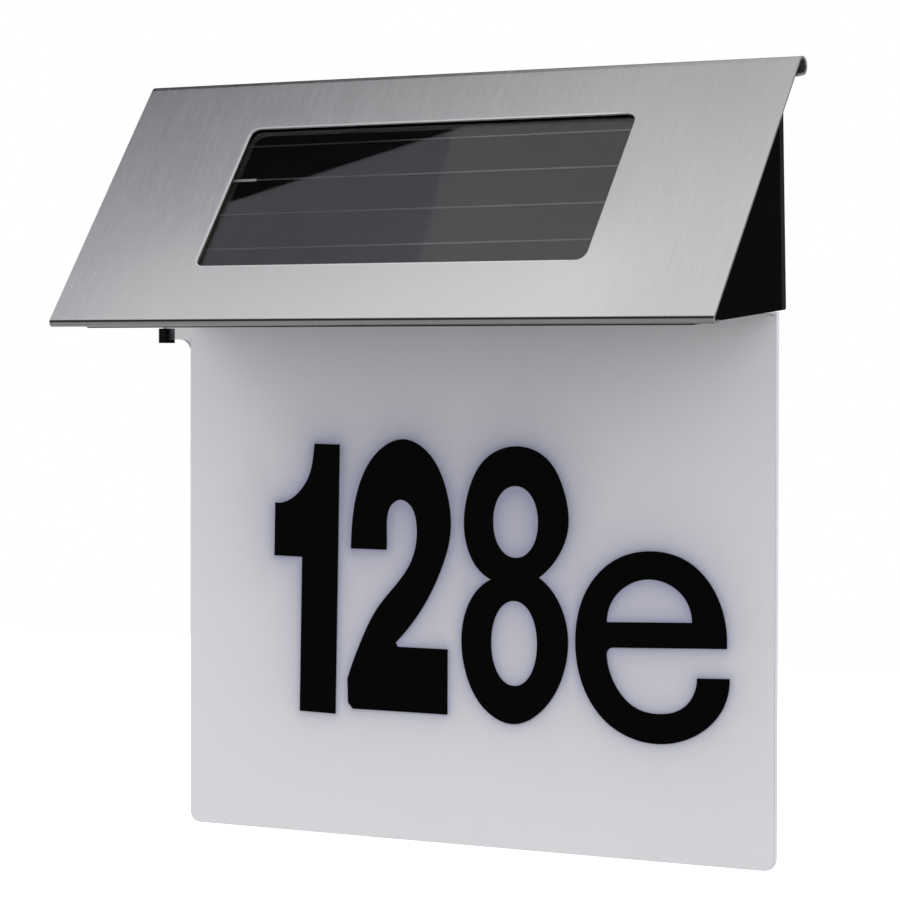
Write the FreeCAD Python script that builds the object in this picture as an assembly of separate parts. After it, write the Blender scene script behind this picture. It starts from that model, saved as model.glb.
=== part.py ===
"""Illuminated house number sign: a small solar lamp with a steel roof that lights a hanging plate.

X runs across the sign, Y runs into the wall and Z runs up, in millimetres. The origin lies on the
wall, midway between the two hanging screws. The eave line, where the flat of the roof ends in its
lip, is the second reference: heights and depths of most pieces are counted from it.
"""
import FreeCAD
import Part
import math
import os
from FreeCAD import Vector

# ---- hanging ----
wall_depth = 56.5            # eave line to the wall
screw_height = 36.0          # hanging screws above the eave line
screw_spacing = 124.0
keyhole_slot_radius = 2.2
keyhole_head_radius = 4.5
keyhole_travel = 9.0
keyhole_pad_border = 3.0

# ---- roof plate ----
roof_width = 199.7
roof_middle = -0.4           # the roof and its window sit a little to the left on the housing
slope_deg = 54.4             # rise of the roof above the horizontal
roof_run = 79.0              # flat of the roof, from the eave line to the ridge bend
sheet = 0.6
lip_radius = 1.25            # outer radius of the eave bend
lip_flange = 1.3
lip_flange_deg = 15.0        # the flange rises by this much towards its free edge
hem_radius = 2.4             # outer radius of the ridge roll
hem_flange = 3.0
hem_flange_deg = 10.0        # the returned edge of the roll falls by this much
window_width = 118.5
window_middle = -0.8
window_low = 17.3            # window edges, counted up the slope from the eave line
window_high = 63.8
window_corner = 2.8

# ---- housing ----
tape = 0.5
tape_width = 5.0             # the strip along the foot of the solar panel
tape_gap = 1.0               # between strips
housing_width = 182.0
housing_top = 59.6           # above the eave line
wall = 1.8
nose_setback = 3.0           # front of the housing behind the eave line
nose_radius = 2.0
heel_gap = 0.2               # back lower edge of the housing to the wall
heel_height = 2.2            # back lower edge above the eave line
heel_radius = 0.7
bottom_rise_deg = 5.0
back_lean_deg = 2.4
cover_thickness = 2.2
cover_rib = 1.2
cover_rib_depth = 2.5
fit_gap = 0.2                # room round pieces that are put together once
slide_gap = 0.25             # room round pieces that slide
foot_width = 12.0
foot_height = 4.0
foot_spacing = 92.0

# ---- solar panel, stacked downwards from the roof plate ----
gasket = 0.6
panel_length = 126.0
panel_height = 60.0
panel_middle = 42.0          # middle of the panel, counted up the slope
panel_cover = 0.9
cell_count = 5
cell_border = 1.0            # panel above and below the strips
cell_end = 2.5               # panel beyond the ends of the strips
cell_gap = 0.5
cell_thickness = 0.3
cell_tilt_deg = 0.5          # the strips are laid slightly out of line with the window
ribbon_width = 0.35
ribbon_height = 0.4
tab_length = 7.5
tab_width = 0.8
panel_corner = 1.0
gasket_border = 0.6          # gasket edge behind the edge of the window
backboard = 1.0
tray_ledge = 2.3
tray_rib = 1.2

# ---- number plate ----
plate_inset = 0.25           # side of the plate in from the side of the housing
plate_drop = 140.05          # lower edge of the plate below the eave line
plate_corner = 3.0
plate_sheet = 1.5
film = 0.2
film_top = 1.15              # upper edge of the film above the eave line
plate_back_gap = 3.6         # back of the plate to the wall
shoulder_height = 1.6        # shoulders of the plate above the eave line
tongue_shoulder = 10.75      # side of the tongue in from the side of the plate
tongue_height = 9.5
tongue_corner = 2.0
ear_length = 9.6
ear_drop = 5.0               # lower edge of the ear below the eave line
ear_fillet = 3.8
buffer_width = 2.9
buffer_depth = 4.3
buffer_height = 4.1
buffer_under = 1.0           # rubber under the ear
buffer_end = 0.75            # rubber beyond the end of the ear
buffer_gap = 0.1
buffer_round = 0.5
character = 0.2              # thickness of the stuck-on characters

# ---- screws ----
screw_shank = 1.3
screw_hole = 1.35
screw_clearance = 1.6
screw_head = 2.7
screw_head_height = 1.3
screw_sink = 1.5
screw_head_round = 0.5
screw_cross = 0.7
screw_cross_depth = 0.7
screw_cross_border = 1.0
screw_tip_room = 0.5
cover_screw_length = 9.0
cover_screw_inset = 5.8      # from the side of the housing
cover_screw_low = 9.5        # above the eave line
cover_screw_high = 51.5
boss_border = 3.0
boss_length = 14.0
plate_screw_inset = 20.0     # from the side of the tongue
plate_screw_length = 11.0
plate_screw_rise = 4.9       # above the shoulders of the plate
board_screw_length = 6.0

# ---- light ----
bar_width = 4.1
bar_height = 2.9
bar_round = 0.4
bar_inset = 4.0              # end of the bar in from the side of the tongue
bar_back_gap = 3.0           # back of the bar to the wall
rib_thickness = 3.5
rib_upper = 1.6
rib_overhang = 2.0           # end of the rib beyond the side of the tongue
board_inset = 4.0            # end of the board in from the end of the bar
board_width = 13.6
board_thickness = 1.6
board_back_gap = 3.4
board_corner = 1.0
board_screw_side = 6.0       # from the end of the board
board_screw_inset = 3.5      # from the front edge of the board
post_radius = 2.8
led_count = 4
led_pitch = 36.0
led_length = 3.5
led_width = 2.8
led_height = 1.4
led_dome_radius = 1.1
led_dome = 0.3
led_air = 0.1                # air between an LED and the bar
chip_length = 5.0
chip_width = 4.0
chip_height = 1.5
chip_leg_pitch = 1.27
chip_leg_width = 0.4
chip_leg_height = 0.25
chip_leg_reach = 0.9
chip_lift = 0.1
coil_x = -46.0               # between the battery's lead and the solar panel's
coil_radius = 3.0
coil_height = 3.2
coil_winding_radius = 2.4
capacitor_inset = 14.0       # from the end of the board
capacitor_radius = 2.0
capacitor_height = 4.4
capacitor_round = 0.4

# ---- battery and its door ----
cell_radius = 7.1
can_length = 49.2
can_round = 0.6
button_radius = 2.75
button_length = 1.4
board_air = 3.2              # room over the board, under the battery bay
battery_depth = 9.6          # battery axis in from the outer face of the cover
bay_gap = 0.4
bay_wall = 1.2
contact = 0.4
contact_half = 4.0
contact_dimple = 0.7
dimple_radius = 1.6
contact_tab = 4.1
contact_tab_half = 1.5
contact_tab_rise = 3.4       # from the battery axis towards the front
spring_wire = 0.4
spring_radius = 4.0
spring_turns = 4
spring_length = 5.5
spring_sink = 0.36           # middle of the first turn's wire off the leaf
door_width = 72.0
door_lip = 0.8               # cover over the edges of the door
door_edge = 2.0              # how far the door reaches under each lip
door_overlap = 1.6           # how far the door covers the edge of the bay below
channel_depth = 2.0
channel_floor = 1.3
channel_border = 2.0
grip_count = 5
grip_pitch = 2.2
grip_groove = 1.0
grip_length = 18.0
grip_depth = 0.4
grip_top = 4.0               # from the upper end of the door

# ---- switch ----
switch_x = 46.0
switch_travel = 3.0
switch_length = 13.0
switch_height = 6.4
switch_depth = 5.0
switch_recess = 0.9
switch_recess_border = 3.0
knob_length = 3.0
knob_height = 3.4
knob_depth = 3.9
knob_below = 0.3             # outer end of the knob below the face of the cover
knob_groove = 0.4
knob_groove_pitch = 0.9
pin_width = 0.8
pin_length = 2.0
pin_pitch = 2.8

# ---- leads, inside the housing ----
lead_radius = 0.5
bend_share = 0.45            # share of a straight run that an arc at its end may take
lead_air = 0.15              # bare end to the metal it is joined to
solar_lead_inset = 4.0       # outer solar lead from the side of the panel
solar_lead_spacing = 6.0

# ---- places worked out from the sizes ----
slope = math.radians(slope_deg)
lean = math.radians(back_lean_deg)
eave_y = -wall_depth
eave_z = -screw_height
deck_depth = sheet + tape
heel_y = -heel_gap
heel_z = eave_z + heel_height
cover_height = (housing_top - heel_height) / math.cos(lean)
plate_width = housing_width - 2 * plate_inset
tongue_width = plate_width - 2 * tongue_shoulder
plate_screw_spacing = tongue_width - 2 * plate_screw_inset
rib_length = tongue_width + 2 * rib_overhang
bar_length = tongue_width - 2 * bar_inset
board_length = bar_length - 2 * board_inset
board_screw_spacing = board_length - 2 * board_screw_side
capacitor_x = board_length / 2 - capacitor_inset
plate_back_y = -plate_back_gap
plate_front_y = plate_back_y - plate_sheet
film_front_y = plate_front_y - film
shoulder_z = eave_z + shoulder_height
tongue_top_z = shoulder_z + tongue_height
slot_front_y = plate_front_y - fit_gap
bar_low_z = tongue_top_z + fit_gap
board_low_z = bar_low_z + bar_height + led_air + led_dome + led_height
board_top_z = board_low_z + board_thickness
board_front_y = -board_back_gap - board_width
plate_screw_z = shoulder_z + plate_screw_rise
cell_pitch = (panel_height - 2 * cell_border) / cell_count
cell_length = panel_length - 2 * cell_end
panel_cover_depth = sheet + gasket
panel_cell_depth = panel_cover_depth + panel_cover + ribbon_height - cell_thickness
backboard_depth = panel_cell_depth + cell_thickness
panel_back_depth = backboard_depth + backboard
battery_up = board_top_z - heel_z + board_air + bay_wall + bay_gap + cell_radius
door_low = battery_up - cell_radius - bay_gap - door_overlap
bay_half = can_length / 2 + (button_length + spring_length + contact * 2 + contact_dimple) / 2
far = 400.0                  # longer than the whole sign, for cutting tools
same_place = 0.01


def box(x, y, z):
    """A box from three (low, high) pairs."""
    size = [high - low for low, high in (x, y, z)]
    return Part.makeBox(size[0], size[1], size[2], Vector(x[0], y[0], z[0]))


def across(width, middle=0.0):
    """The (low, high) pair of a width about its middle."""
    return (middle - width / 2, middle + width / 2)


def cylinder(radius, start, direction, length):
    return Part.makeCylinder(radius, length, Vector(*start), Vector(*direction))


def fused(shapes):
    solid = shapes[0]
    for other in shapes[1:]:
        solid = solid.fuse(other)
    return solid.removeSplitter()


def round_along(shape, axis, radius, near=None):
    """Round the edges that run along an axis, or only the ones at a place across it."""
    chosen = []
    for edge in shape.Edges:
        if edge.Curve.TypeId != "Part::GeomLine":
            continue
        run = edge.Vertexes[-1].Point - edge.Vertexes[0].Point
        if abs(abs(run.normalize()[axis]) - 1) > 1e-6:
            continue
        place = [edge.CenterOfMass[i] for i in range(3) if i != axis]
        if near is None or max(abs(place[0] - near[0]), abs(place[1] - near[1])) < same_place:
            chosen.append(edge)
    return shape.makeFillet(radius, chosen)


def on_slope(shape):
    """Move a shape from the flat (X across, Y up the slope, Z outwards) onto the roof."""
    placed = shape.copy()
    placed.rotate(Vector(0, 0, 0), Vector(1, 0, 0), slope_deg)
    placed.translate(Vector(0, eave_y, eave_z))
    return placed


def slope_point(x, up, depth):
    """The place of a point up the slope and under the roof's outer face."""
    y = eave_y + up * math.cos(slope) + depth * math.sin(slope)
    z = eave_z + up * math.sin(slope) - depth * math.cos(slope)
    return (x, y, z)


def on_back(shape):
    """Move a shape from an upright cover (Y = 0 outside, Z = 0 at the heel) onto the leaning back."""
    placed = shape.copy()
    placed.rotate(Vector(0, 0, 0), Vector(1, 0, 0), back_lean_deg)
    placed.translate(Vector(0, heel_y, heel_z))
    return placed


def back_point(x, y, up):
    """The place of a point given in the upright cover's frame."""
    return (x, heel_y + y * math.cos(lean) - up * math.sin(lean),
            heel_z + y * math.sin(lean) + up * math.cos(lean))


def prism(profile, width):
    """A solid from (Y, Z) corners, symmetric about X = 0."""
    corners = [Vector(-width / 2, y, z) for y, z in profile]
    face = Part.Face(Part.makePolygon(corners + corners[:1]))
    return face.extrude(Vector(width, 0, 0))


# ---- folded steel roof ----

def right_of(heading):
    return (math.sin(heading), -math.cos(heading))


def fold(start, heading, legs, thickness):
    """Edges of a folded strip in the YZ plane. A leg is (length,) or (outer radius, clockwise turn)."""
    def point(y, z):
        return Vector(roof_middle - roof_width / 2, y, z)

    outer = []
    inner = []
    y, z = start
    for leg in legs:
        side = right_of(heading)
        if len(leg) == 1:
            ends = [(y, z), (y + leg[0] * math.cos(heading), z + leg[0] * math.sin(heading))]
            under = [(a + side[0] * thickness, b + side[1] * thickness) for a, b in ends]
            outer.append(Part.LineSegment(point(*ends[0]), point(*ends[1])).toShape())
            inner.append(Part.LineSegment(point(*under[1]), point(*under[0])).toShape())
            y, z = ends[1]
            continue
        radius, turn = leg
        middle = (y + radius * side[0], z + radius * side[1])
        spokes = [right_of(heading - turn * share) for share in (0, 0.5, 1)]
        rims = []
        for r in (radius, radius - thickness):
            rims.append([point(middle[0] - r * s[0], middle[1] - r * s[1]) for s in spokes])
        outer.append(Part.Arc(*rims[0]).toShape())
        inner.append(Part.Arc(*reversed(rims[1])).toShape())
        y, z = rims[0][2].y, rims[0][2].z
        heading -= turn
    inner.reverse()
    return outer, inner


def make_roof_plate():
    lip_turn = math.pi + math.radians(lip_flange_deg) - slope
    hem_turn = slope + math.pi - math.radians(hem_flange_deg)
    heading = slope + lip_turn
    legs = [(lip_flange,), (lip_radius, lip_turn), (roof_run,), (hem_radius, hem_turn), (hem_flange,)]
    lip, _ = fold((0, 0), heading, legs[:2], sheet)
    eave = lip[1].Vertexes[-1].Point
    outer, inner = fold((eave_y - eave.y, eave_z - eave.z), heading, legs, sheet)
    ends = [(outer[-1].Vertexes[-1].Point, inner[0].Vertexes[0].Point),
            (inner[-1].Vertexes[-1].Point, outer[0].Vertexes[0].Point)]
    caps = [Part.makeLine(a, b) for a, b in ends]
    profile = Part.Wire(outer + caps[:1] + inner + caps[1:])
    solid = Part.Face(profile).extrude(Vector(roof_width, 0, 0))
    window = box(across(window_width, window_middle), (window_low, window_high), (-2 * sheet, sheet))
    return solid.cut(on_slope(round_along(window, 2, window_corner)))


def make_foam_tape():
    """Three strips between the roof plate and the housing, beside and below the solar panel."""
    level = (-deck_depth, -sheet)
    outer_x = housing_width / 2 - wall
    inner_x = panel_length / 2 + tray_rib + tray_ledge
    foot = panel_middle - panel_height / 2 - tray_rib - fit_gap
    top = panel_middle + panel_height / 2
    side = box((inner_x, outer_x), (foot + tape_gap, top), level)
    strips = [side, side.mirror(Vector(0, 0, 0), Vector(1, 0, 0))]
    strips.append(box((-outer_x, outer_x), (foot - tape_width, foot), level))
    return [on_slope(strip) for strip in strips]


# ---- solar panel ----

def make_solar_cover():
    top = -panel_cover_depth
    slab = box(across(panel_length), across(panel_height, panel_middle), (top - panel_cover, top))
    return on_slope(round_along(slab, 2, panel_corner))


def make_solar_gasket():
    level = (-sheet - gasket, -sheet)
    rim = box(across(panel_length), across(panel_height, panel_middle), level)
    width = window_width + 2 * gasket_border
    hole = box(across(width, window_middle), (window_low - gasket_border, window_high + gasket_border), level)
    return on_slope(rim.cut(hole))


def laid(shape):
    """Turn a piece of the cell array by its small tilt, about the middle of the panel."""
    turned = shape.copy()
    turned.rotate(Vector(0, panel_middle, 0), Vector(0, 0, 1), cell_tilt_deg)
    return on_slope(turned)


def make_solar_cells():
    strips = []
    level = (-panel_cell_depth - cell_thickness, -panel_cell_depth)
    for i in range(cell_count):
        middle = panel_middle + (i - (cell_count - 1) / 2) * cell_pitch
        strip = box(across(cell_length), across(cell_pitch - cell_gap, middle), level)
        strips.append(laid(strip))
    return strips


def make_solar_ribbons():
    """A thin light ribbon in each gap between strips, one of them with a wide tab at its end."""
    ribbons = []
    top = -panel_cover_depth - panel_cover
    for i in range(cell_count - 1):
        middle = panel_middle + (i + 1 - cell_count / 2) * cell_pitch
        ribbon = box(across(cell_length), across(ribbon_width, middle), (top - ribbon_height, top))
        if i == cell_count - 3:
            tab_x = (-cell_length / 2, -cell_length / 2 + tab_length)
            tab_low = top - ribbon_height + cell_thickness
            ribbon = ribbon.fuse(box(tab_x, across(tab_width, middle), (tab_low, top)))
        ribbons.append(laid(ribbon))
    return ribbons


def make_solar_backboard():
    level = (-panel_back_depth, -backboard_depth)
    slab = box(across(panel_length), across(panel_height, panel_middle), level)
    return on_slope(round_along(slab, 2, panel_corner))


# ---- housing ----

def bottom_z(y):
    """Height of the housing's underside at a depth."""
    return heel_z + (y - heel_y) * math.tan(math.radians(bottom_rise_deg))


def wedge(inset):
    """The housing's outer shape, or the hollow in it, open at the back, for an inset of a wall."""
    nose_y = eave_y + nose_setback + inset
    top_z = eave_z + housing_top - inset
    deck = deck_depth + inset

    def deck_z(y):
        return eave_z + ((y - eave_y) * math.sin(slope) - deck) / math.cos(slope)

    def deck_y(z):
        return eave_y + ((z - eave_z) * math.cos(slope) + deck) / math.sin(slope)

    lift = inset / math.cos(math.radians(bottom_rise_deg))
    if inset:
        back = [(wall, bottom_z(wall) + lift), (wall, top_z)]
    else:
        back = [(heel_y, heel_z), (heel_y - (top_z - heel_z) * math.tan(lean), top_z)]
    front = [(deck_y(top_z), top_z), (nose_y, deck_z(nose_y)), (nose_y, bottom_z(nose_y) + lift)]
    solid = prism(back + front, housing_width - 2 * inset)
    if not inset:
        solid = round_along(solid, 0, nose_radius, front[2])
        solid = round_along(solid, 0, heel_radius, back[0])
    return solid


def cover_side():
    """Everything behind the joint between the shell and the back cover."""
    return on_back(box(across(far), (-cover_thickness, far / 4), (-far / 2, far / 2)))


def sides(x):
    return (-x, x)


def cover_screw_places():
    ups = (cover_screw_low - heel_height, cover_screw_high - heel_height)
    return [(x, up) for x in sides(housing_width / 2 - cover_screw_inset) for up in ups]


def shell_ribs():
    """Screw bosses, light-bar rib, board posts and the tray that holds the solar panel."""
    ribs = []
    half = housing_width / 2
    for x, up in cover_screw_places():
        low, high = up - boss_border, up + boss_border
        if up < cover_height / 2:
            low = -boss_border
        else:
            high = cover_height
        inner = abs(x) - boss_border
        span = (inner, half) if x > 0 else (-half, -inner)
        ribs.append(on_back(box(span, (-cover_thickness - boss_length, 0), (low, high))))
    base_z = bottom_z(slot_front_y - rib_thickness)
    ribs.append(box(across(rib_length), (slot_front_y - rib_thickness, slot_front_y), (base_z, bar_low_z)))
    rib_back = slot_front_y - rib_thickness + rib_upper
    ribs.append(box(across(rib_length), (slot_front_y - rib_thickness, rib_back), (base_z, board_low_z)))
    for x in sides(plate_screw_spacing / 2):
        start = (x, slot_front_y - plate_screw_length, plate_screw_z)
        ribs.append(cylinder(boss_border, start, (0, 1, 0), plate_screw_length))
    for x in sides(board_screw_spacing / 2):
        post_y = board_front_y + board_screw_inset
        start = (x, post_y, bottom_z(post_y))
        ribs.append(cylinder(post_radius, start, (0, 0, 1), board_low_z - start[2]))
    border = tray_rib + fit_gap
    tray = box(across(panel_length + 2 * border), across(panel_height + 2 * border, panel_middle),
               (-panel_back_depth - tray_rib, -deck_depth))
    ribs.append(on_slope(tray))
    return ribs


def make_housing_shell():
    outer = wedge(0).cut(cover_side())
    hollow = wedge(wall)
    body = outer.cut(hollow)
    for rib in shell_ribs():
        body = body.fuse(rib.common(outer))
    seat = box(across(panel_length + 2 * fit_gap), across(panel_height + 2 * fit_gap, panel_middle),
               (-panel_back_depth, 0))
    light = box(across(panel_length - 2 * tray_ledge), across(panel_height - 2 * tray_ledge, panel_middle),
                (-panel_back_depth - 2 * tray_rib, 0))
    body = body.cut(on_slope(seat)).cut(on_slope(light))
    slot_x = across(tongue_width + 4 * fit_gap)
    body = body.cut(box(slot_x, (slot_front_y, plate_back_y + fit_gap), (eave_z - wall, bar_low_z)))
    for x, up in cover_screw_places():
        hole = cylinder(screw_hole, (x, -screw_sink, up), (0, -1, 0), cover_screw_length + screw_tip_room)
        body = body.cut(on_back(hole))
    for x in sides(plate_screw_spacing / 2):
        start = (x, plate_screw_seat_y(), plate_screw_z)
        body = body.cut(cylinder(screw_hole, start, (0, -1, 0), plate_screw_length + screw_tip_room))
    for x in sides(board_screw_spacing / 2):
        start = (x, board_front_y + board_screw_inset, board_top_z)
        body = body.cut(cylinder(screw_hole, start, (0, 0, -1), board_screw_length + screw_tip_room))
    return body.removeSplitter()


def channel(gap, top):
    """The door channel in the cover with gap 0, or the door itself with the sliding gap."""
    low = door_low + gap
    deep = door_width / 2 - gap
    narrow = deep - door_edge
    back = -channel_depth + gap
    step = -door_lip - gap
    face = -gap if gap else fit_gap
    wide = box(sides(deep), (back, step), (low, top))
    return wide.fuse(box(sides(narrow), (step, face), (low, top)))


def keyhole(x):
    head = cylinder(keyhole_head_radius, (x, -far / 8, -keyhole_travel), (0, 1, 0), far / 4)
    slot = box(across(2 * keyhole_slot_radius, x), (-far / 8, far / 8), (-keyhole_travel, 0))
    end = cylinder(keyhole_slot_radius, (x, -far / 8, 0), (0, 1, 0), far / 4)
    return fused([head, slot, end])


def pads():
    """Flat pads that stand out of the leaning back as far as the wall."""
    deep = (-cover_thickness / 2, 0)
    shapes = []
    low = -keyhole_travel - keyhole_head_radius - keyhole_pad_border
    for x in sides(screw_spacing / 2):
        pad = box(across(2 * (keyhole_head_radius + keyhole_pad_border), x),
                  (deep[0] - cover_thickness / 2, 0), (low, keyhole_slot_radius + keyhole_pad_border))
        shapes.append(round_along(pad, 1, keyhole_pad_border))
    foot_low = heel_z + 2 * heel_radius
    for x in sides(foot_spacing / 2):
        shapes.append(box(across(foot_width, x), deep, (foot_low, foot_low + foot_height)))
    return shapes


def bay(grow):
    """The battery bay's hollow, or its outside with a wall's growth."""
    half = cell_radius + bay_gap + grow
    front = -battery_depth - cell_radius - bay_gap - grow
    return box(sides(bay_half + grow), (front, -channel_depth), across(2 * half, battery_up))


def contact_y():
    return -battery_depth - contact_tab_rise


def make_back_cover():
    body = wedge(0).common(cover_side())
    floor_back = -channel_depth - channel_floor
    inside_top = cover_height - wall - 2 * fit_gap
    body = body.fuse(on_back(box(sides(door_width / 2 + channel_border), (floor_back, -channel_depth),
                                 (door_low - channel_border, inside_top))))
    for pad in pads():
        body = body.fuse(pad)
    body = body.fuse(on_back(bay(bay_wall)))
    rib_x = housing_width / 2 - wall - fit_gap
    rib_z = (cover_screw_low + boss_border, cover_screw_high - heel_height - 2 * boss_border)
    for x in (rib_x, -rib_x + cover_rib):
        rib = box((x - cover_rib, x), (-cover_thickness - cover_rib_depth, -cover_thickness), rib_z)
        body = body.fuse(on_back(rib))
    body = body.cut(on_back(channel(0, cover_height + 1)))
    body = body.cut(on_back(bay(0)))
    tab_hole = box(sides(bay_half + 2 * bay_wall), across(contact + 2 * fit_gap, contact_y()),
                   across(2 * contact_tab_half + 2 * fit_gap, battery_up))
    body = body.cut(on_back(tab_hole))
    for x in sides(screw_spacing / 2):
        body = body.cut(keyhole(x))
    for x, up in cover_screw_places():
        body = body.cut(on_back(cylinder(screw_clearance, (x, -far / 8, up), (0, 1, 0), far / 4)))
        body = body.cut(on_back(cylinder(screw_head + fit_gap, (x, -screw_sink, up), (0, 1, 0), far / 8)))
    for x in sides(plate_screw_spacing / 2):
        body = body.cut(cylinder(screw_clearance, (x, -far / 8, plate_screw_z), (0, 1, 0), far / 4))
        start = (x, plate_screw_seat_y(), plate_screw_z)
        body = body.cut(cylinder(screw_head + fit_gap, start, (0, 1, 0), far / 8))
    reach = knob_length + switch_travel
    middle = switch_x + switch_travel / 2
    slot = box(across(reach + 2 * slide_gap, middle), (-far / 8, far / 8),
               across(knob_height + 2 * slide_gap, battery_up))
    recess = box(across(reach + 2 * switch_recess_border, middle), (-switch_recess, far / 8),
                 across(knob_height + 2 * switch_recess_border, battery_up))
    return body.cut(on_back(slot)).cut(on_back(recess)).removeSplitter()


def make_battery_door():
    """Slides up in its channel; its finger grip is a row of grooves near the upper end."""
    top = cover_height - slide_gap
    door = channel(slide_gap, top)
    for i in range(grip_count):
        z = top - grip_top - i * grip_pitch
        groove = box(across(grip_length), (-slide_gap - grip_depth, slide_gap), across(grip_groove, z))
        door = door.cut(groove)
    return on_back(door.removeSplitter())


# ---- screws ----

def screw(length):
    """A pan-head screw that points down, with the underside of its head at the origin."""
    head = Part.makeCylinder(screw_head, screw_head_height)
    head = round_rim(head, screw_head_height, screw_head_round)
    tip = Part.makeCone(screw_shank, screw_shank / 3, screw_shank, Vector(0, 0, -length + screw_shank),
                        Vector(0, 0, -1))
    shank = cylinder(screw_shank, (0, 0, 0), (0, 0, -1), length - screw_shank)
    solid = fused([head, shank, tip])
    cross_span = 2 * (screw_head - screw_cross_border)
    for width, height in ((screw_cross, cross_span), (cross_span, screw_cross)):
        level = (screw_head_height - screw_cross_depth, 2 * screw_head_height)
        solid = solid.cut(box(across(width), across(height), level))
    return solid


def round_rim(shape, z, radius):
    """Round the circular edge at a height."""
    rim = [e for e in shape.Edges if e.Closed and abs(e.CenterOfMass.z - z) < 1e-6]
    return shape.makeFillet(radius, rim)


def plate_screw_seat_y():
    """The seat of a plate screw's head, which lies just below the face of the leaning cover."""
    return heel_y - (plate_screw_z - heel_z) * math.tan(lean) - fit_gap - screw_head_height


def make_cover_screws():
    screws = []
    for x, up in cover_screw_places():
        one = screw(cover_screw_length)
        one.rotate(Vector(0, 0, 0), Vector(1, 0, 0), -90)
        one.translate(Vector(x, -screw_sink, up))
        screws.append(on_back(one))
    return screws


def make_plate_screws():
    screws = []
    for x in sides(plate_screw_spacing / 2):
        one = screw(plate_screw_length)
        one.rotate(Vector(0, 0, 0), Vector(1, 0, 0), -90)
        one.translate(Vector(x, plate_screw_seat_y(), plate_screw_z))
        screws.append(one)
    return screws


def make_board_screws():
    screws = []
    for x in sides(board_screw_spacing / 2):
        one = screw(board_screw_length)
        one.translate(Vector(x, board_front_y + board_screw_inset, board_top_z))
        screws.append(one)
    return screws


# ---- light ----

def make_light_bar():
    back = -bar_back_gap
    bar = box(across(bar_length), (back - bar_width, back), (bar_low_z, bar_low_z + bar_height))
    return round_along(bar, 0, bar_round)


def make_led_board():
    board = box(across(board_length), (board_front_y, -board_back_gap), (board_low_z, board_top_z))
    board = round_along(board, 2, board_corner)
    for x in sides(board_screw_spacing / 2):
        start = (x, board_front_y + board_screw_inset, board_low_z)
        board = board.cut(cylinder(screw_hole, start, (0, 0, 1), board_thickness))
    return board


def make_leds():
    lamps = []
    y = -bar_back_gap - bar_width / 2
    for i in range(led_count):
        x = (i - (led_count - 1) / 2) * led_pitch
        body = box(across(led_length, x), across(led_width, y), (board_low_z - led_height, board_low_z))
        dome = cylinder(led_dome_radius, (x, y, board_low_z - led_height), (0, 0, -1), led_dome)
        lamps.append(body.fuse(dome))
    return lamps


def board_middle_y():
    return -board_back_gap - board_width / 2


def make_driver_chip():
    y = board_middle_y()
    level = (board_top_z + chip_lift, board_top_z + chip_height)
    pieces = [box(across(chip_length), across(chip_width, y), level)]
    for i in range(4):
        x = (i - 1.5) * chip_leg_pitch
        reach = across(chip_width + 2 * chip_leg_reach, y)
        pieces.append(box(across(chip_leg_width, x), reach, (board_top_z, board_top_z + chip_leg_height)))
    return fused(pieces)


def make_coil():
    y = board_middle_y()
    base = (coil_x, y, board_top_z)
    flange = coil_height / 4
    pieces = [cylinder(coil_radius, base, (0, 0, 1), flange)]
    pieces.append(cylinder(coil_winding_radius, base, (0, 0, 1), coil_height))
    pieces.append(cylinder(coil_radius, (coil_x, y, board_top_z + coil_height - flange), (0, 0, 1), flange))
    return fused(pieces)


def make_capacitor():
    can = Part.makeCylinder(capacitor_radius, capacitor_height)
    can = round_rim(can, capacitor_height, capacitor_round)
    can.translate(Vector(capacitor_x, board_middle_y(), board_top_z))
    return can


# ---- battery ----

def battery_start():
    """X of the flat end of the battery."""
    return -bay_half + contact + spring_length


def make_battery_cell():
    can = cylinder(cell_radius, (battery_start(), -battery_depth, battery_up), (1, 0, 0), can_length)
    rims = [e for e in can.Edges if e.Closed]
    can = can.makeFillet(can_round, rims)
    button_x = battery_start() + can_length
    button = cylinder(button_radius, (button_x, -battery_depth, battery_up), (1, 0, 0), button_length)
    return on_back(can.fuse(button))


def contact_leaf(side):
    """The flat leaf at one end of the bay and its tab through the bay's end wall."""
    wall_x = bay_half * side
    leaf_x = sorted((wall_x, wall_x - contact * side))
    leaf = box(leaf_x, across(2 * contact_half, -battery_depth), across(2 * contact_half, battery_up))
    tab_x = sorted((wall_x, wall_x + contact_tab * side))
    tab = box(tab_x, across(contact, contact_y()), across(2 * contact_tab_half, battery_up))
    return leaf.fuse(tab)


def make_plus_contact():
    start = (bay_half - contact, -battery_depth, battery_up)
    dimple = cylinder(dimple_radius, start, (-1, 0, 0), contact_dimple)
    return on_back(fused([contact_leaf(1), dimple]))


def make_spring_contact():
    pitch = (spring_length - 2 * spring_wire) / spring_turns
    path = Part.makeHelix(pitch, pitch * spring_turns, spring_radius)
    profile = Part.Wire(Part.makeCircle(spring_wire, Vector(spring_radius, 0, 0), Vector(0, 1, 0)))
    spring = Part.Wire(path).makePipeShell([profile], True, True)
    spring.rotate(Vector(0, 0, 0), Vector(0, 1, 0), 90)
    spring.translate(Vector(-bay_half + contact + spring_sink, -battery_depth, battery_up))
    return on_back(contact_leaf(-1).fuse(spring))


# ---- switch ----

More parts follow.
